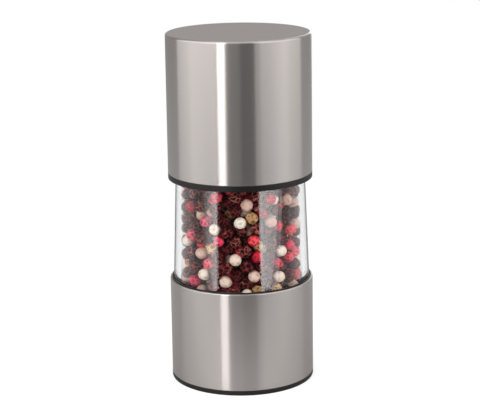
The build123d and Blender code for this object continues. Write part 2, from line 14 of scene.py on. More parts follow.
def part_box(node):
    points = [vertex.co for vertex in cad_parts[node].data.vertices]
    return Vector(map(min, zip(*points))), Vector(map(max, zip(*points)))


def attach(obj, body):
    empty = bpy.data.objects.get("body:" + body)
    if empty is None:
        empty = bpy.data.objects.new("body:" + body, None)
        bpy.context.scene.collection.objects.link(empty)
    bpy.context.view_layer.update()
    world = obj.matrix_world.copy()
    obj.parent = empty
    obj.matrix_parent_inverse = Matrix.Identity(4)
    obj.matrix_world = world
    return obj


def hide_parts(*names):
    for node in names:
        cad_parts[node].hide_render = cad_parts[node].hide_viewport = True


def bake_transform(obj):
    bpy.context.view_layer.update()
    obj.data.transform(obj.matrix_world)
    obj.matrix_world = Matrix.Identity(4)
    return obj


bl_info = {
    "name": "Pepper Mill",
    "version": (1, 0, 0),
    "blender": (4, 5, 0),
    "location": "3D View > Sidebar > Pepper Mill",
    "description": "Dresses the packed pepper mill and sets its stage",
    "category": "Add Mesh",
}

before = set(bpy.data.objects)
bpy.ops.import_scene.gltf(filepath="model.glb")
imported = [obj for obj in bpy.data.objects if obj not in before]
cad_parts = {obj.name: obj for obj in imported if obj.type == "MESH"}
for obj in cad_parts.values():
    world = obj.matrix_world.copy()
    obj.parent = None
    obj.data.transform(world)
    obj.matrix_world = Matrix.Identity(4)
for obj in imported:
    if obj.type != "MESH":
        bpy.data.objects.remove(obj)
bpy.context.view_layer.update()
MM = 0.001

# Upright lamps: the bearings of their two edges from the camera's side in degrees, distance from the axis,
# lower and upper edge, the radiance at each of the two bearings, and the pieces that a lamp is kept for
LAMPS = {
    "left_softbox": (-110, -35, 0.8, -0.03, 1.1, 0.74, 1.55, None),
    "strip": (-33.5, -21.5, 1.2, -0.09, 1.3, 4.2, 4.2, None),
    "camera_side": (-21.5, 2, 1.2, -0.09, 1.3, 0.24, 0.16, "steel"),
    "right_edge": (24.5, 33, 0.8, -0.03, 1.1, 0.56, 0.56, None),
    "right_softbox": (33, 112, 0.8, -0.03, 1.1, 0.97, 0.68, None),
    "back_strip": (158, 174, 1.2, -0.03, 1.1, 1.0, 1.0, None),
    "left_card": (-70, -42, 1.5, -0.44, 1.5, 0.4, 4.4, "window"),
    "right_card": (33, 98, 1.5, -0.44, 0.8, 4.8, 0.5, "window"),
}
# What a lamp can be kept for, as flags on a stage would keep it off the rest
KEPT_FOR = {
    "steel": ("steel_cap", "steel_sleeve"),
    "window": ("clear_container", "black_grains", "white_grains", "pink_grains", "green_grains"),
}
# Four kinds of peppercorn: the skin is what dried_pepper takes, the shape what peppercorns takes
# Each skin's hollow colour is painted shade, multiplied into the hollows of its wrinkles
PEPPERS = {
    # Dried with its skin on: hard brown-red ridges, about 0.3 mm wide, and round hollows darkened nearly to
    # black by painted shade
    "black": {
        "skin": {"name": "black_pepper_dried_wrinkled", "hollow_shade": "#4E181C", "wrinkle": 1.6, "ridge": 0.11,
                 "depth": 0.3, "roughness": 0.6, "gloss": 0.06},
        "shape": {"tones": ("#6E2A2E", "#823838", "#984A46", "#B66C62"),
                  "seed": 3, "swell": 0.1, "sink": 0.24, "stretch": 0.1, "grow": 1.12},
    },
    # Without its skin: a smooth cream seed, faintly darkened in its shallow hollows by painted shade
    "white": {
        "skin": {"name": "white_pepper_dried_smooth", "hollow_shade": "#DDBEB2", "wrinkle": 1.9, "ridge": 0.45,
                 "depth": 0.05, "roughness": 0.5, "gloss": 0.3},
        "shape": {"tones": ("#DECAB8", "#ECDECE", "#E0C4B4", "#D0AA9A", "#C0968A"),
                  "seed": 4, "swell": 0.05, "sink": 0.05, "stretch": 0.06, "grow": 1.06},
    },
    # A thin brittle skin that crumples over its seed, with a slight shine; its creases are darkened by
    # painted shade
    "pink": {
        "skin": {"name": "pink_pepper_dried_crumpled", "hollow_shade": "#A05068", "wrinkle": 1.6, "ridge": 0.28,
                 "depth": 0.2, "roughness": 0.45, "gloss": 0.3},
        "shape": {"tones": ("#C2102E", "#DA1E3E", "#E6325C", "#EE4A50", "#E8607C"),
                  "seed": 5, "swell": 0.14, "sink": 0.2, "stretch": 0.18, "grow": 1.12},
    },
    # Picked unripe, and dried to tan and olive folds, darkened in their hollows by painted shade
    "green": {
        "skin": {"name": "green_pepper_dried_folded", "hollow_shade": "#AA9070", "wrinkle": 1.8, "ridge": 0.28,
                 "depth": 0.25, "roughness": 0.6, "gloss": 0.15},
        "shape": {"tones": ("#C09062", "#D8B286", "#B4865C", "#CBA67C"),
                  "seed": 6, "swell": 0.12, "sink": 0.2, "stretch": 0.12, "grow": 1.12},
    },
}


def linear(hex_colour):
    """Linear RGBA of an sRGB hex colour."""
    levels = np.array([int(hex_colour[at:at + 2], 16) for at in (1, 3, 5)]) / 255
    lit = np.where(levels <= 0.04045, levels / 12.92, ((levels + 0.055) / 1.055) ** 2.4)
    return (*lit.tolist(), 1.0)


def length(name, description, millimetres):
    """A length property with its default in millimetres."""
    return FloatProperty(
        name=name, description=description, default=millimetres * MM, unit="LENGTH", subtype="DISTANCE"
    )


def angle(name, description, degrees):
    """An angle property with its default in degrees."""
    return FloatProperty(
        name=name, description=description, default=math.radians(degrees), unit="ROTATION", subtype="ANGLE"
    )


def colour(name, description, hex_colour):
    """A colour property with its default as an sRGB hex value."""
    return FloatVectorProperty(
        name=name, description=description, default=linear(hex_colour), size=4, min=0, max=1, subtype="COLOR"
    )


class MillSizes(bpy.types.PropertyGroup):
    """Sizes of the pieces and the brushing that are made here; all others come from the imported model."""

    sheet: length("Steel sheet", "Thickness of the steel of the cap and the base", 0.6)
    cap_edge: length("Cap edge", "Radius of the cap's upper edge", 0.9)
    sheet_edge: length("Sheet edge", "Radius of the sheet's cut edges", 0.15)
    sleeve_rim: length("Sleeve rim", "Width of the base sleeve's rim, which is turned in", 0.8)
    sleeve_edge: length("Sleeve edge", "Radius of the base sleeve's upper edge", 0.4)
    burr_edge: length("Burr edge", "Radius of the rim's hidden edges", 0.05)
    brush_gap: length("Brush gap", "Distance between the steel's brush lines", 0.45)
    brush_length: length("Brush length", "Length of the steel's brush lines", 27)
    wall: length("Clear wall", "Thickness of the clear container's wall at its seat", 2.5)
    spigot: length("Spigot", "Length of the container's spigot inside the base", 7.0)
    spigot_step: length("Spigot step", "Step from the container's foot in to its spigot", 0.9)
    rim: length("Rim", "Radius of the container's rim", 0.5)
    moulded_edge: length("Moulded edge", "Radius of the container's lower edges", 0.2)
    draft: angle("Draft", "Taper of the container's outside", 2.1)
    chamber_draft: angle("Chamber draft", "Taper of the container's inside", 1.0)
    lathe_steps: IntProperty(name="Lathe steps", description="Steps around each turned piece", default=256)
    arc_steps: IntProperty(name="Arc steps", description="Steps in each rounded edge", default=6)
    spring_wire: length("Spring wire", "Thickness of the grind spring's wire", 0.8)
    spring_turns: IntProperty(name="Spring turns", description="Turns of the grind spring", default=4)
    coil_steps: IntProperty(name="Coil steps", description="Steps in each turn of the spring", default=24)
    wire_steps: IntProperty(name="Wire steps", description="Steps around the spring's wire", default=8)
    grain_gap: length("Grain gap", "Least gap between a peppercorn and the container's wall", 0.04)
    grain_steps: IntProperty(name="Grain steps", description="Steps around a peppercorn", default=10)
    grain_rows: IntProperty(name="Grain rows", description="Rows from pole to pole of a grain", default=6)


class MillColours(bpy.types.PropertyGroup):
    """Colours of the mill's materials."""

    steel: colour("Steel", "Brushed stainless steel", "#D0C9C6")
    black: colour("Black plastic", "Moulded rings, housing and liner", "#171210")
    clear: colour("Clear plastic", "Tint of the clear container", "#FAFCFC")
    ivory: colour("Ivory plastic", "Socket, bush and hub", "#E6E1D2")
    silicone: colour("Silicone", "Seal and grip ring", "#8E8E90")
    ceramic: colour("Ceramic", "Both burrs", "#F0EDE6")
    bright_steel: colour("Bright steel", "Spindle, spring and screws", "#CDCDCD")
    brass: colour("Brass", "Thread of the knob", "#E3BF7A")
    floor: colour("Floor", "Table under the mill", "#C6C6C5")


class MillStage(bpy.types.PropertyGroup):
    """Camera, table, room and overhead softbox."""

    lens: FloatProperty(name="Lens", description="Focal length, millimetres", default=122.4, unit="CAMERA")
    distance: length("Distance", "Camera to the point it aims at", 624.55)
    aim: length("Aim", "Height of the point the camera aims at", 72.84)
    elevation: angle("Elevation", "Camera above the horizon", 13.207)
    roll: angle("Roll", "Tilt of the camera about its line of sight", -0.82)
    shift_x: FloatProperty(name="Shift X", description="Sideways shift of the frame", default=-0.0009)
    shift_y: FloatProperty(name="Shift Y", description="Upward shift of the frame", default=-0.0375)
    overhead: FloatProperty(name="Overhead", description="Radiance of the overhead softbox", default=0.6)
    overhead_width: length("Overhead width", "Width of the overhead softbox", 866)
    overhead_depth: length("Overhead depth", "Depth of the overhead softbox", 800)
    overhead_front: length("Overhead front", "Overhead softbox in front of the axis", 100)
    overhead_height: length("Overhead height", "Overhead softbox above the table", 850)
    table_front: length("Table front", "Axis to the table's front edge", 110)
    table_back: length("Table back", "Axis to the table's back edge", 3000)
    table_side: length("Table side", "Axis to the table's left and right edges", 2000)
    table_lift: FloatProperty(name="Table lift", description="Glow of the table in view", default=0.67)
    shadow_start: length("Shadow start", "Where the table in view starts to fade to white", 60)
    shadow_end: length("Shadow end", "Where the table in view is white", 160)
    studio: FloatProperty(name="Studio", description="Radiance of the room around the stage", default=0.39)
    slant: FloatProperty(name="Slant", description="Share that the room gains to the right", default=0.2)
    front: FloatProperty(name="Front", description="Radiance of the room above the camera", default=0.4)
    shade: FloatProperty(name="Shade", description="Radiance of the dark below the camera", default=0.024)


def add(tree, kind, inputs=None, **settings):
    """Adds a node with its settings, and sets its inputs or links them.

    An input's value is a plain value, a socket, or a node whose first output is meant.
    """
    node = tree.nodes.new(kind)
    for name, value in settings.items():
        setattr(node, name, value)
    for name, value in (inputs or {}).items():
        if isinstance(value, bpy.types.Node):
            value = value.outputs[0]
        if isinstance(value, bpy.types.NodeSocket):
            tree.links.new(value, node.inputs[name])
        else:
            node.inputs[name].default_value = value
    return node


def start(name):
    """A new material with an empty tree, and its Object coordinates."""
    material = bpy.data.materials.new(name)
    material.use_nodes = True
    tree = material.node_tree
    tree.nodes.clear()
    return material, tree, add(tree, "ShaderNodeTexCoord").outputs["Object"]


def dimmed(rgba, share):
    """A colour with its light cut to a share."""
    return (*(level * share for level in rgba[:3]), 1.0)


def brushed_stainless(sizes, colours):
    """Stainless sheet brushed on a lathe.

    Fine rings smear a reflection along the axis and leave it sharp sideways. The cap's flat top is brushed
    straight across, which mirrors the room evenly.
    """
    material, tree, place = start("stainless_steel_brushed_around")
    split = add(tree, "ShaderNodeSeparateXYZ", {"Vector": place})
    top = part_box("cap_shell")[1].z
    # 1 on the cap's flat top and 0 everywhere below it
    level = add(tree, "ShaderNodeMapRange", {
        "Value": split.outputs["Z"], "From Min": top - 0.02 * MM, "From Max": top - 0.005 * MM,
    })
    flat = add(tree, "ShaderNodeCombineXYZ", {"X": split.outputs["X"], "Y": split.outputs["Y"]})
    radius = add(tree, "ShaderNodeVectorMath", {0: flat}, operation="LENGTH").outputs["Value"]
    across = add(tree, "ShaderNodeMix", {0: level, 2: radius, 3: split.outputs["Y"]})
    rise = add(tree, "ShaderNodeMath", {0: split.outputs["Z"], 1: across}, operation="ADD")
    path = add(tree, "ShaderNodeCombineXYZ", {"X": split.outputs["X"], "Y": split.outputs["Y"], "Z": rise})
    # Real brush lines are 0.05 mm apart; these are drawn coarser, so that they show
    spread = add(tree, "ShaderNodeMapping", {
        "Vector": path, "Scale": (1 / sizes.brush_length, 1 / sizes.brush_length, 1 / sizes.brush_gap),
    })
    lines = add(tree, "ShaderNodeTexNoise", {"Vector": spread, "Scale": 1.0})
    tint = add(tree, "ShaderNodeMix", {
        0: lines, 6: dimmed(colours.steel, 0.985), 7: colours.steel,
    }, data_type="RGBA")
    rough = add(tree, "ShaderNodeMapRange", {"Value": lines, "To Min": 0.255, "To Max": 0.275})
    bump = add(tree, "ShaderNodeBump", {"Height": lines, "Strength": 0.02, "Distance": 0.01 * MM})
    around = add(tree, "ShaderNodeTangent", direction_type="RADIAL", axis="Z")
    straight = add(tree, "ShaderNodeTangent", direction_type="RADIAL", axis="Y")
    tangent = add(tree, "ShaderNodeMix", {0: level, 4: around, 5: straight}, data_type="VECTOR")
    shader = add(tree, "ShaderNodeBsdfPrincipled", {
        "Base Color": tint.outputs[2],
        "Metallic": 1.0,
        "Roughness": rough,
        "Anisotropic": 1.0,
        "Anisotropic Rotation": 0.25,
        "Normal": bump,
        "Tangent": tangent.outputs[1],
    })
    add(tree, "ShaderNodeOutputMaterial", {"Surface": shader})
    return material


def moulded(name, tint, roughness, grain, depth, subsurface=0.0, ior=1.5):
    """Moulded plastic, silicone or ceramic: an even colour whose gloss the tool's fine grain breaks.

    Grain is the size of the tool's texture and depth its height, in millimetres. Real grain is about
    0.05 mm across; it is drawn coarser, so that it shows.
    """
    darkest, spread = 0.75, 0.12
    material, tree, place = start(name)
    spots = add(tree, "ShaderNodeTexNoise", {"Vector": place, "Scale": 1 / (grain * MM), "Detail": 3.0})
    tone = add(tree, "ShaderNodeMix", {0: spots, 6: dimmed(tint, darkest), 7: tint}, data_type="RGBA")
    rough = add(tree, "ShaderNodeMapRange", {
        "Value": spots, "To Min": roughness - spread, "To Max": roughness + spread,
    })
    bump = add(tree, "ShaderNodeBump", {"Height": spots, "Strength": 0.3, "Distance": depth * MM})
    shader = add(tree, "ShaderNodeBsdfPrincipled", {
        "Base Color": tone.outputs[2],
        "Roughness": rough,
        "IOR": ior,
        "Subsurface Weight": subsurface,
        "Subsurface Scale": 0.5 * MM,
        "Normal": bump,
    })
    add(tree, "ShaderNodeOutputMaterial", {"Surface": shader})
    return material


def machined(name, tint, roughness, across, along):
    """Metal with fine tool lines, which spread its highlights a little.

    Across and along are the lines' sizes in millimetres, square to the axis and along it. Real lines are
    about 0.05 mm wide; these are drawn coarser, so that they show.
    """
    darkest, spread = 0.9, 0.05
    material, tree, place = start(name)
    stretched = add(tree, "ShaderNodeMapping", {
        "Vector": place, "Scale": (1 / (across * MM), 1 / (across * MM), 1 / (along * MM)),
    })
    lines = add(tree, "ShaderNodeTexNoise", {"Vector": stretched, "Scale": 1.0})
    tone = add(tree, "ShaderNodeMix", {0: lines, 6: dimmed(tint, darkest), 7: tint}, data_type="RGBA")
    rough = add(tree, "ShaderNodeMapRange", {
        "Value": lines, "To Min": roughness - spread, "To Max": roughness + spread,
    })
    bump = add(tree, "ShaderNodeBump", {"Height": lines, "Strength": 0.1, "Distance": 0.005 * MM})
    shader = add(tree, "ShaderNodeBsdfPrincipled", {
        "Base Color": tone.outputs[2],
        "Metallic": 1.0,
        "Roughness": rough,
        "Normal": bump,
    })
    add(tree, "ShaderNodeOutputMaterial", {"Surface": shader})
    return material


def clear_acrylic(colours):
    """Acrylic moulded in a polished tool: sharp reflections that waver slightly over about 9 mm.

    Lamps and scattered light pass straight through it, so that the filling is lit.
    """
    material, tree, place = start("acrylic_clear_moulded")
    waves = add(tree, "ShaderNodeTexNoise", {"Vector": place, "Scale": 1 / (9 * MM), "Detail": 1.0})
    rough = add(tree, "ShaderNodeMapRange", {"Value": waves, "To Max": 0.01})
    bump = add(tree, "ShaderNodeBump", {"Height": waves, "Strength": 0.1, "Distance": 0.02 * MM})
    shader = add(tree, "ShaderNodeBsdfPrincipled", {
        "Base Color": colours.clear,
        "Roughness": rough,
        "IOR": 1.49,
        "Transmission Weight": 1.0,
        "Normal": bump,
    })
    path = add(tree, "ShaderNodeLightPath")
    lamp = add(tree, "ShaderNodeMath", {
        0: path.outputs["Is Shadow Ray"], 1: path.outputs["Is Diffuse Ray"],
    }, operation="MAXIMUM")
    open_wall = add(tree, "ShaderNodeBsdfTransparent", {"Color": colours.clear})
    wall = add(tree, "ShaderNodeMixShader", {0: lamp, 1: shader, 2: open_wall})
    add(tree, "ShaderNodeOutputMaterial", {"Surface": wall})
    return material


def dried_pepper(name, hollow_shade, wrinkle, ridge, depth, roughness, gloss):
    """Dried pepper: each grain has its own tone on a net of raised ridges, which shut in hollows darkened by
    painted shade.

    Wrinkle is the net's mesh and depth its height in millimetres, ridge the share of a mesh that a ridge
    slopes over. Noise bends the net by up to a mesh, so that no two hollows are alike. Bends counts the
    noise's waves in a mesh, and crest is the flat share of a ridge.
    """
    bends, crest, spread = 0.7, 0.15, 0.1
    material, tree, place = start(name)
    drift = add(tree, "ShaderNodeTexNoise", {"Vector": place, "Scale": bends / (wrinkle * MM)})
    bent = add(tree, "ShaderNodeVectorMath", {
        0: drift.outputs["Color"], 1: (wrinkle * MM,) * 3, 2: place,
    }, operation="MULTIPLY_ADD")
    net = add(tree, "ShaderNodeTexVoronoi", {
        "Vector": bent, "Scale": 1 / (wrinkle * MM),
    }, feature="DISTANCE_TO_EDGE")
    sunk = add(tree, "ShaderNodeMapRange", {
        "Value": net.outputs["Distance"], "From Min": crest * ridge, "From Max": ridge,
    }, interpolation_type="SMOOTHSTEP")
    tone = add(tree, "ShaderNodeAttribute", attribute_name="tone")
    # Painted shade: in the hollows the grain's tone is multiplied by the hollow colour
    shade = add(tree, "ShaderNodeMix", {
        0: sunk, 6: tone.outputs["Color"], 7: linear(hollow_shade),
    }, data_type="RGBA", blend_type="MULTIPLY")
    bump = add(tree, "ShaderNodeBump", {
        "Height": sunk, "Strength": 0.8, "Distance": depth * MM,
    }, invert=True)
    rough = add(tree, "ShaderNodeMapRange", {
        "Value": sunk, "To Min": roughness - spread, "To Max": roughness + spread,
    })
    shader = add(tree, "ShaderNodeBsdfPrincipled", {
        "Base Color": shade.outputs[2],
        "Roughness": rough,
        "IOR": 1.45,
        "Specular IOR Level": gloss,
        "Normal": bump,
    })
    add(tree, "ShaderNodeOutputMaterial", {"Surface": shader})
    return material


def units(vectors):
    """Vectors scaled to length 1."""
    return vectors / np.linalg.norm(vectors, axis=-1, keepdims=True)


def rounded(corners, radii, steps, closed):
    """Points and outward normals of a profile of radius and height whose corners are rounded.

    The profile runs with its solid on the left. A corner's arc starts and ends on its two edges, at the
    radius over the tangent of half the corner's angle. It is the quadratic curve of start, corner and end
    whose middle weight is the sine of that half angle, which is a true arc. An open profile keeps its ends.
    """
    corners = np.array(corners)
    before = np.roll(corners, 1, axis=0)
    after = np.roll(corners, -1, axis=0)
    if not closed:
        before, after, inner = before[1:-1], after[1:-1], corners[1:-1]
    else:
        inner = corners
    radii = np.array(radii)[:, None]
    back = units(before - inner)
    ahead = units(after - inner)
    half = np.arccos(np.clip((back * ahead).sum(axis=1, keepdims=True), -1, 1)) / 2
    reach = radii / np.tan(half)
    share = np.linspace(0, 1, steps + 1)[:, None, None]
    first, middle, last = (1 - share) ** 2, 2 * share * (1 - share) * np.sin(half), share ** 2
    arc = first * (inner + back * reach) + middle * inner + last * (inner + ahead * reach)
    arc = arc / (first + middle + last)
    centre = inner + units(back + ahead) * radii / np.sin(half)
    turn = np.sign(back[:, 1] * ahead[:, 0] - back[:, 0] * ahead[:, 1])[:, None]
    normals = units(turn * (arc - centre))
    points = arc.transpose(1, 0, 2).reshape(-1, 2)
    normals = normals.transpose(1, 0, 2).reshape(-1, 2)
    if not closed:
        points = np.vstack([corners[:1], points, corners[-1:]])
        normals = np.vstack([normals[:1], normals, normals[-1:]])
    return points, normals


def ring_faces(rings, steps, closed):
    """Quads between neighbouring rings of points; the last ring joins the first on a closed profile."""
    row = np.arange(rings if closed else rings - 1)[:, None]
    step = np.arange(steps)[None]
    near, far = row * steps, (row + 1) % rings * steps
    beside = (step + 1) % steps
    return np.stack([near + step, near + beside, far + beside, far + step], axis=-1).reshape(-1, 4)


def pole_faces(pole, ring, steps, above):
    """Triangles from a pole to a ring of points; above says that the pole ends the profile."""
    step = ring + np.arange(steps)
    beside = ring + (np.arange(steps) + 1) % steps
    poles = np.full(steps, pole)
    return np.stack([step, beside, poles] if above else [poles, beside, step], axis=-1)


def capped_faces(rings, steps):
    """Blocks of faces of a tube of rings that ends in two poles, whose points follow those of the rings."""
    return (
        ring_faces(rings, steps, False),
        pole_faces(rings * steps, 0, steps, False),
        pole_faces(rings * steps + 1, (rings - 1) * steps, steps, True),
    )


def joined(blocks):
    """One list of faces from blocks of quads and triangles."""
    return [face for block in blocks for face in block.tolist()]


def show(name, points, faces, material, slot, nodes):
    """A mesh object that stands for its nodes; its slot argument is not used."""
    mesh = bpy.data.meshes.new(name)
    mesh.from_pydata(points, [], faces)
    mesh.validate()
    mesh.shade_smooth()
    mesh.materials.append(material)
    piece = bpy.data.objects.new(name, mesh)
    bpy.context.scene.collection.objects.link(piece)
    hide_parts(*nodes)
    return piece


def lathe(name, profile, steps, closed, body, **place):
    """A turned piece: each profile point is carried round the Z axis, at its radius times cosine and sine.

    The ends of an open profile lie on the axis and become single poles.
    """
    points, normals = profile
    turn = np.arange(steps) * 2 * np.pi / steps
    ring = np.stack([np.cos(turn), np.sin(turn)], axis=-1)

    def carried(flat):
        """Radius and height of each row carried round the axis."""
        around = flat[:, None, :1] * ring[None]
        height = np.broadcast_to(flat[:, None, 1:], around.shape[:2] + (1,))
        return np.concatenate([around, height], axis=-1).reshape(-1, 3)

    if closed:
        vertices, directions = carried(points), carried(normals)
        blocks = (ring_faces(len(points), steps, True),)
    else:
        poles = np.zeros((2, 3))
        poles[:, 2] = points[[0, -1], 1]
        upright = np.zeros((2, 3))
        upright[:, 2] = np.sign(normals[[0, -1], 1])
        vertices = np.vstack([carried(points[1:-1]), poles])
        directions = np.vstack([carried(normals[1:-1]), upright])
        blocks = capped_faces(len(points) - 2, steps)
    piece = show(name, vertices, joined(blocks), **place)
    piece.data.normals_split_custom_set_from_vertices(directions)
    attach(piece, body)


def coil(name, radius, low, high, sizes, **place):
    """A coil spring: a round wire along a helix that turns about the Z axis at its radius and climbs evenly.

    Each ring of the wire is spanned by the outward direction and the one square to it and to the helix.
    """
    turn = np.linspace(0, 2 * np.pi * sizes.spring_turns, sizes.coil_steps * sizes.spring_turns + 1)
    climb = (high - low) / turn[-1]
    outward = np.stack([np.cos(turn), np.sin(turn), 0 * turn], axis=-1)
    forward = units(np.stack([-radius * np.sin(turn), radius * np.cos(turn), 0 * turn + climb], axis=-1))
    upright = np.cross(forward, outward)
    centre = radius * outward + np.stack([0 * turn, 0 * turn, low + climb * turn], axis=-1)
    around = np.arange(sizes.wire_steps) * 2 * np.pi / sizes.wire_steps
    ring = np.cos(around)[:, None] * outward[:, None] + np.sin(around)[:, None] * upright[:, None]
    points = centre[:, None] + sizes.spring_wire / 2 * ring
    vertices = np.vstack([points.reshape(-1, 3), centre[[0, -1]]])
    return show(name, vertices, joined(capped_faces(len(turn), sizes.wire_steps)), **place)


def grain_places(node):
    """Centres and radius of a node's spheres, which follow one another in its mesh.

    A triangle starts a new sphere where every point number so far is below every point number still to come.
    """
    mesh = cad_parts[node].data
    corners = np.empty(len(mesh.loops), dtype=np.int32)
    mesh.loops.foreach_get("vertex_index", corners)
    points = np.empty(len(mesh.vertices) * 3)
    mesh.vertices.foreach_get("co", points)
    triangles = corners.reshape(-1, 3)
    highest = np.maximum.accumulate(triangles.max(axis=1))
    lowest = np.minimum.accumulate(triangles.min(axis=1)[::-1])[::-1]
    starts = np.flatnonzero(np.concatenate([[True], highest[:-1] < lowest[1:]]))
    spread = points.reshape(-1, 3)[triangles]
    low = np.minimum.reduceat(spread.min(axis=1), starts, axis=0)
    high = np.maximum.reduceat(spread.max(axis=1), starts, axis=0)
    return (low + high) / 2, float((high - low).mean() / 2)


def chamber(sizes):
    """Inner radius of the container at its seat, the seat's height, and loss of inner radius per height."""
    low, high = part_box("container")
    return high.x - sizes.wall, low.z + sizes.spigot, math.tan(sizes.chamber_draft)


def peppercorns(kind, material, sizes, tones, seed, swell, sink, stretch, grow):
    """All grains of a kind as one mesh, each a sphere of rows and steps with a tone of its own.

    A grain's radius is 1 plus slow waves over its direction for its lumps, less quick ones for its dents.
    Each wave is the sine of the direction times the grain's own random vector plus a random phase. The grain
    is then stretched, turned at random and put at its centre, and points that would pass the container's
    inner wall are drawn in to it. Swell and sink are the shares of the radius that lumps and dents take,
    stretch is the greatest loss along an axis, and grow makes up for these.
    """
    slow_pitch, quick_pitch, last_phase = 1.6, 4.5, 6.3
    slow_waves, quick_waves = 4, 5
    node = f"{kind}_peppercorns"
    centres, radius = grain_places(node)
    count, steps, rows = len(centres), sizes.grain_steps, sizes.grain_rows
    random = np.random.default_rng(seed)
    fall = np.linspace(0, np.pi, rows + 1)[1:-1]
    turn = np.arange(steps) * 2 * np.pi / steps
    flat = np.stack(np.broadcast_arrays(
        np.sin(fall)[:, None] * np.cos(turn), np.sin(fall)[:, None] * np.sin(turn), -np.cos(fall)[:, None]
    ), axis=-1).reshape(-1, 3)
    direction = np.vstack([flat, [[0, 0, -1], [0, 0, 1]]])
    slow = direction @ random.normal(0, slow_pitch, (count, 3, slow_waves))
    slow = np.sin(slow + random.uniform(0, last_phase, (count, 1, slow_waves)))
    quick = direction @ random.normal(0, quick_pitch, (count, 3, quick_waves))
    quick = np.sin(quick + random.uniform(0, last_phase, (count, 1, quick_waves)))
    radial = 1 + swell * slow.mean(axis=-1) - sink * np.abs(quick.mean(axis=-1))
    shape = direction * radial[..., None] * random.uniform(1 - stretch, 1, (count, 1, 3))
    turned = np.linalg.qr(random.normal(size=(count, 3, 3)))[0]
    turned = turned * np.linalg.det(turned)[:, None, None]
    points = centres[:, None] + shape @ turned * radius * grow
    inner, seat, slope = chamber(sizes)
    inside = inner - sizes.grain_gap - (points[..., 2:] - seat) * slope
    points[..., :2] *= np.minimum(1, inside / np.linalg.norm(points[..., :2], axis=-1, keepdims=True))
    offsets = (np.arange(count) * len(direction))[:, None, None]
    blocks = [(block + offsets).reshape(-1, block.shape[1]) for block in capped_faces(rows - 1, steps)]
    piece = show(f"{kind}_grains", points.reshape(-1, 3), joined(blocks), material, f"{kind}_pepper", [node])
    shades = np.array([linear(tone) for tone in tones])
    pick = random.uniform(0, len(tones) - 1, count)
    first = pick.astype(int)
    own = shades[first] + (shades[first + 1] - shades[first]) * (pick - first)[:, None]
    tone = piece.data.attributes.new("tone", "FLOAT_COLOR", "POINT")
    tone.data.foreach_set("color", np.repeat(own, len(direction), axis=0).ravel())
    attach(piece, "base")


def paint(material, *nodes):
    """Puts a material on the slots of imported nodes."""
    for node in nodes:
        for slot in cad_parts[node].material_slots:
            slot.material = material


class MILL_OT_steel(bpy.types.Operator):
    """Turn the steel cap and the steel sleeve of the base"""

    bl_idname = "mill.steel"
    bl_label = "Steel Cap and Sleeve"

    def execute(self, context):
        sizes = context.scene.mill_sizes
        steel = brushed_stainless(sizes, context.scene.mill_colours)
        low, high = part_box("cap_shell")
        inner, under = high.x - sizes.sheet, high.z - sizes.sheet
        cap = rounded(
            [(0, under), (inner, under), (inner, low.z), (high.x, low.z), (high.x, high.z), (0, high.z)],
            [sizes.cap_edge - sizes.sheet, sizes.sheet_edge, sizes.sheet_edge, sizes.cap_edge],
            sizes.arc_steps, False,
        )
        lathe("steel_cap", cap, sizes.lathe_steps, False, material=steel, body="cap", slot="brushed_steel",
              nodes=["cap_shell"])
        low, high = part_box("base_sleeve")
        inner, under = high.x - sizes.sheet, high.z - sizes.sheet
        rim = high.x - sizes.sleeve_rim
        cut, hidden = sizes.sheet_edge, sizes.burr_edge
        sleeve = rounded(
            [(inner, low.z), (high.x, low.z), (high.x, high.z), (rim, high.z), (rim, under), (inner, under)],
            [cut, cut, sizes.sleeve_edge, cut, hidden, hidden],
            sizes.arc_steps, True,
        )
        lathe("steel_sleeve", sleeve, sizes.lathe_steps, True, material=steel, body="base",
              slot="brushed_steel", nodes=["base_sleeve"])
        return {"FINISHED"}


class MILL_OT_window(bpy.types.Operator):
    """Turn the clear container behind the window"""

    bl_idname = "mill.window"
    bl_label = "Clear Container"

    def execute(self, context):
        sizes = context.scene.mill_sizes
        acrylic = clear_acrylic(context.scene.mill_colours)
        low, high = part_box("container")
        inner, seat, slope = chamber(sizes)
        spigot = high.x - sizes.spigot_step
        mouth = high.x - (high.z - seat) * math.tan(sizes.draft)
        wall = rounded(
            [(inner + sizes.spigot * slope, low.z), (spigot, low.z), (spigot, seat), (high.x, seat),
             (mouth, high.z), (inner - (high.z - seat) * slope, high.z)],
            [sizes.moulded_edge] * 4 + [sizes.rim] * 2,
            sizes.arc_steps, True,
        )
        lathe("clear_container", wall, sizes.lathe_steps, True, material=acrylic, body="base",
              slot="clear_plastic", nodes=["container"])
        return {"FINISHED"}


class MILL_OT_mouldings(bpy.types.Operator):
    """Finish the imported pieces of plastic, silicone and ceramic"""

    bl_idname = "mill.mouldings"
    bl_label = "Mouldings"

    def execute(self, context):
        colours = context.scene.mill_colours
        # Satin tool texture: a dull sheen along edges and no sharp reflections
        black = moulded("abs_black_moulded_satin", colours.black, 0.42, grain=0.35, depth=0.02)
        paint(black, "cap_liner", "base_housing", "foot_ring", "grinder_frame", "stator_retainer",
              "adjuster_knob")
        # Acetal is waxy: light enters a little before it comes back
        ivory = moulded("acetal_ivory_moulded", colours.ivory, 0.35, grain=0.5, depth=0.01,
                        subsurface=0.2, ior=1.48)
        paint(ivory, "drive_socket", "bridge_bush", "rotor_hub")
        # Silicone is soft and dull, with a rubbery surface
        silicone = moulded("silicone_grey_moulded", colours.silicone, 0.6, grain=0.3, depth=0.02,
                           subsurface=0.1, ior=1.41)
        paint(silicone, "cap_grip_ring", "container_seal")
        # Unglazed sintered ceramic: chalky grains of grit
        ceramic = moulded("alumina_white_sintered", colours.ceramic, 0.55, grain=0.25, depth=0.02,
                          subsurface=0.05, ior=1.76)
        paint(ceramic, "rotor_burr", "stator_burr")
        return {"FINISHED"}


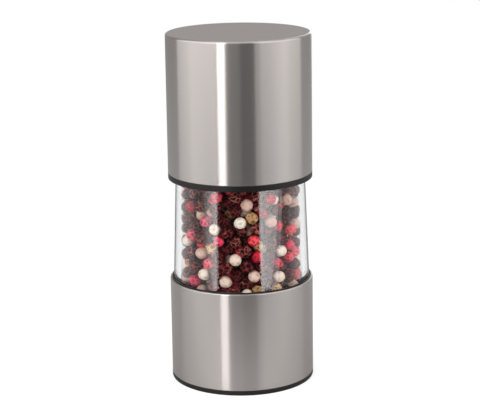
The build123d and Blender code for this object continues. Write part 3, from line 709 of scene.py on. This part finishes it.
class MILL_OT_metalwork(bpy.types.Operator):
    """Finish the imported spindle, washers, screws and brass thread, and wind the spring"""

    bl_idname = "mill.metalwork"
    bl_label = "Inner Metalwork"

    def execute(self, context):
        colours = context.scene.mill_colours
        sizes = context.scene.mill_sizes
        # Drawn bar and wire: bright, with fine die lines along the axis
        steel = machined("steel_drawn_bright", colours.bright_steel, 0.28, across=0.3, along=12)
        paint(steel, "spindle", "spindle_clip", "spring_washer", "thrust_washer", "grinder_screws")
        # Turned brass: warm, with tool rings
        paint(machined("brass_turned", colours.brass, 0.25, across=3, along=0.3), "knob_insert")
        low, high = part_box("grind_spring")
        half = sizes.spring_wire / 2
        spring = coil("wound_spring", high.x - half, low.z + half, high.z - half, sizes, material=steel,
                      slot="bright_steel", nodes=["grind_spring"])
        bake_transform(spring)
        return {"FINISHED"}


class MILL_OT_peppercorns(bpy.types.Operator):
    """Fill the window with four kinds of peppercorn"""

    bl_idname = "mill.peppercorns"
    bl_label = "Peppercorns"

    def execute(self, context):
        for kind, pepper in PEPPERS.items():
            material = dried_pepper(**pepper["skin"])
            peppercorns(kind, material, context.scene.mill_sizes, **pepper["shape"])
        return {"FINISHED"}


def hang_lamp(name, width, height, pose, first, last):
    """An area lamp whose radiance goes evenly from first to last along its width.

    Its watts are its greatest radiance times pi times its area.
    """
    most = max(first, last)
    lamp = bpy.data.lights.new(name, "AREA")
    lamp.shape = "RECTANGLE"
    lamp.size = width
    lamp.size_y = height
    lamp.energy = most * math.pi * width * height
    lamp.use_nodes = True
    tree = lamp.node_tree
    tree.nodes.clear()
    surface = add(tree, "ShaderNodeNewGeometry")
    along = add(tree, "ShaderNodeSeparateXYZ", {"Vector": surface.outputs["Parametric"]})
    share = add(tree, "ShaderNodeMapRange", {"Value": along, "To Min": first / most, "To Max": last / most})
    glow = add(tree, "ShaderNodeEmission", {"Strength": share})
    add(tree, "ShaderNodeOutputLight", {"Surface": glow})
    holder = bpy.data.objects.new(name, lamp)
    holder.matrix_world = pose
    holder.visible_camera = False
    bpy.context.scene.collection.objects.link(holder)
    return holder


def facing_axis(bearing, distance, height):
    """Pose of an upright lamp that faces the axis, at a bearing from the camera's side."""
    outward = Vector((math.sin(bearing), -math.cos(bearing), 0))
    across = Vector((math.cos(bearing), math.sin(bearing), 0))
    pose = Matrix((across, (0, 0, 1), outward)).transposed().to_4x4()
    pose.translation = outward * distance + Vector((0, 0, height))
    return pose


class MILL_OT_stage(bpy.types.Operator):
    """Set up the table, the lamps, the room and the camera"""

    bl_idname = "mill.stage"
    bl_label = "Stage"

    def execute(self, context):
        stage = context.scene.mill_stage
        self.lay_floor(context, stage)
        self.light_room(context.scene, stage)
        self.hang_lamps(stage)
        self.place_camera(context.scene, stage)
        context.scene.view_settings.view_transform = "Standard"
        return {"FINISHED"}

    def lay_floor(self, context, stage):
        """A pale table: plain for the lamps, lifted to white in view, so that it keeps a shadow."""
        tint = context.scene.mill_colours.floor
        side, front, back = stage.table_side, -stage.table_front, stage.table_back
        mesh = bpy.data.meshes.new("floor")
        mesh.from_pydata(
            [(-side, front, 0), (side, front, 0), (side, back, 0), (-side, back, 0)], [], [(0, 1, 2, 3)]
        )
        # Uncoated paper is dull, with fibres about 2 mm long
        material, tree, place = start("paper_white_table")
        fibre = add(tree, "ShaderNodeTexNoise", {"Vector": place, "Scale": 1 / (2 * MM)})
        tone = add(tree, "ShaderNodeMix", {0: fibre, 6: dimmed(tint, 0.95), 7: tint}, data_type="RGBA")
        table = add(tree, "ShaderNodeBsdfDiffuse", {"Color": tone.outputs[2]})
        path = add(tree, "ShaderNodeLightPath")
        # Behind the mill glass sees the table as the camera does; beside it the clear wall mirrors it plain
        depth = add(tree, "ShaderNodeSeparateXYZ", {"Vector": place}).outputs["Y"]
        behind = add(tree, "ShaderNodeMapRange", {"Value": depth, "From Min": 0.0, "From Max": 40 * MM})
        through = add(tree, "ShaderNodeMath", {
            0: path.outputs["Is Transmission Ray"], 1: behind,
        }, operation="MULTIPLY")
        seen = add(tree, "ShaderNodeMath", {
            0: path.outputs["Is Camera Ray"], 1: through,
        }, operation="MAXIMUM")
        lift = add(tree, "ShaderNodeMath", {0: seen, 1: stage.table_lift}, operation="MULTIPLY")
        glow = add(tree, "ShaderNodeEmission", {"Strength": lift})
        near = add(tree, "ShaderNodeAddShader", {0: table, 1: glow})
        away = add(tree, "ShaderNodeVectorMath", {0: place}, operation="LENGTH")
        past = add(tree, "ShaderNodeMapRange", {
            "Value": away.outputs["Value"], "From Min": stage.shadow_start, "From Max": stage.shadow_end,
        }, interpolation_type="SMOOTHSTEP")
        fade = add(tree, "ShaderNodeMath", {0: past, 1: seen}, operation="MULTIPLY")
        white = add(tree, "ShaderNodeEmission")
        both = add(tree, "ShaderNodeMixShader", {0: fade, 1: near, 2: white})
        add(tree, "ShaderNodeOutputMaterial", {"Surface": both})
        mesh.materials.append(material)
        floor = bpy.data.objects.new("floor", mesh)
        context.scene.collection.objects.link(floor)

    def light_room(self, scene, stage):
        """A grey room, darker to the left and the camera, and a white backdrop for camera, glass and metal.

        Heights and depths are the sines of a direction's angles above the table and to the back. The
        backdrop that metal mirrors has an edge and a middle, as cosines of the angle to the line of sight.
        """
        dark_height, light_height = -0.12, 0.15
        camera_depth, room_depth = -0.85, -0.2
        backdrop_depth = 0.2
        backdrop_edge, backdrop_middle = 0.975, 0.992
        world = bpy.data.worlds.new("studio")
        world.use_nodes = True
        tree = world.node_tree
        tree.nodes.clear()
        view = add(tree, "ShaderNodeTexCoord").outputs["Generated"]
        split = add(tree, "ShaderNodeSeparateXYZ", {"Vector": view})
        front = add(tree, "ShaderNodeMapRange", {
            "Value": split.outputs["Z"], "From Min": dark_height, "From Max": light_height,
            "To Min": stage.shade, "To Max": stage.front,
        }, interpolation_type="SMOOTHSTEP")
        sides = add(tree, "ShaderNodeMapRange", {
            "Value": split.outputs["X"], "From Min": -1.0, "From Max": 1.0,
            "To Min": (1 - stage.slant) * stage.studio, "To Max": (1 + stage.slant) * stage.studio,
        })
        room = add(tree, "ShaderNodeMapRange", {
            "Value": split.outputs["Y"], "From Min": camera_depth, "From Max": room_depth,
            "To Min": front, "To Max": sides,
        }, interpolation_type="SMOOTHSTEP")
        path = add(tree, "ShaderNodeLightPath")
        sight = (0, math.cos(stage.elevation), -math.sin(stage.elevation))
        facing = add(tree, "ShaderNodeVectorMath", {0: view, 1: sight}, operation="DOT_PRODUCT")
        behind = add(tree, "ShaderNodeMapRange", {
            "Value": facing.outputs["Value"], "From Min": backdrop_edge, "From Max": backdrop_middle,
        })
        mirrored = add(tree, "ShaderNodeMath", {
            0: path.outputs["Is Glossy Ray"], 1: behind,
        }, operation="MULTIPLY")
        # A ray that the clear wall sends back to the front is a transmission ray too, and sees the room
        away = add(tree, "ShaderNodeMapRange", {
            "Value": split.outputs["Y"], "From Min": 0.0, "From Max": backdrop_depth,
        })
        through = add(tree, "ShaderNodeMath", {
            0: path.outputs["Is Transmission Ray"], 1: away,
        }, operation="MULTIPLY")
        seen = add(tree, "ShaderNodeMath", {
            0: path.outputs["Is Camera Ray"], 1: through,
        }, operation="MAXIMUM")
        white = add(tree, "ShaderNodeMath", {0: seen, 1: mirrored}, operation="MAXIMUM")
        strength = add(tree, "ShaderNodeMix", {0: white, 2: room, 3: 1.0})
        backdrop = add(tree, "ShaderNodeBackground", {"Color": (1.0, 1.0, 1.0, 1.0), "Strength": strength})
        add(tree, "ShaderNodeOutputWorld", {"Surface": backdrop})
        scene.world = world

    def hang_lamps(self, stage):
        """The upright lamps, some of them kept for a few pieces, and the overhead softbox."""
        kept = {group: bpy.data.collections.new(group) for group in KEPT_FOR}
        for group, names in KEPT_FOR.items():
            for name in names:
                kept[group].objects.link(bpy.data.objects[name])
        for name, (first, last, distance, low, high, near, far, group) in LAMPS.items():
            bearings = math.radians(first), math.radians(last)
            width = 2 * distance * math.tan((bearings[1] - bearings[0]) / 2)
            pose = facing_axis(sum(bearings) / 2, distance, (low + high) / 2)
            lamp = hang_lamp(name, width, high - low, pose, near, far)
            if group:
                lamp.light_linking.receiver_collection = kept[group]
        above = Matrix.Translation((0, -stage.overhead_front, stage.overhead_height))
        hang_lamp("overhead", stage.overhead_width, stage.overhead_depth, above,
                  stage.overhead, stage.overhead)

    def place_camera(self, scene, stage):
        """The camera looks along +Y and down at its elevation, rolled about its line of sight."""
        lens = bpy.data.cameras.new("camera")
        lens.lens = stage.lens
        lens.shift_x = stage.shift_x
        lens.shift_y = stage.shift_y
        camera = bpy.data.objects.new("camera", lens)
        tilt = Matrix.Rotation(math.pi / 2 - stage.elevation, 4, "X")
        roll = Matrix.Rotation(stage.roll, 4, "Z")
        aim = Matrix.Translation((0, 0, stage.aim))
        camera.matrix_world = aim @ tilt @ roll @ Matrix.Translation((0, 0, stage.distance))
        scene.collection.objects.link(camera)
        scene.camera = camera


class MILL_PT_panel(bpy.types.Panel):
    """Lists the pieces of the mill and its settings"""

    bl_idname = "MILL_PT_panel"
    bl_label = "Pepper Mill"
    bl_space_type = "VIEW_3D"
    bl_region_type = "UI"
    bl_category = "Pepper Mill"

    def draw(self, context):
        for operator in OPERATORS:
            self.layout.operator(operator.bl_idname)
        for group in GROUPS:
            settings = getattr(context.scene, group)
            for name in settings.__annotations__:
                self.layout.prop(settings, name)


OPERATORS = (
    MILL_OT_steel, MILL_OT_window, MILL_OT_mouldings, MILL_OT_metalwork, MILL_OT_peppercorns, MILL_OT_stage,
)
GROUPS = {"mill_sizes": MillSizes, "mill_colours": MillColours, "mill_stage": MillStage}


def register():
    """Registers the classes and hangs the settings on the scene."""
    for entry in (*GROUPS.values(), *OPERATORS, MILL_PT_panel):
        bpy.utils.register_class(entry)
    for name, group in GROUPS.items():
        setattr(bpy.types.Scene, name, PointerProperty(type=group))


def unregister():
    """Takes the settings off the scene and unregisters the classes."""
    for name in GROUPS:
        delattr(bpy.types.Scene, name)
    for entry in (MILL_PT_panel, *OPERATORS[::-1], *GROUPS.values()):
        bpy.utils.unregister_class(entry)


def main():
    register()
    bpy.ops.mill.steel()
    bpy.ops.mill.window()
    bpy.ops.mill.mouldings()
    bpy.ops.mill.metalwork()
    bpy.ops.mill.peppercorns()
    bpy.ops.mill.stage()


if __name__ == "__main__":
    main()
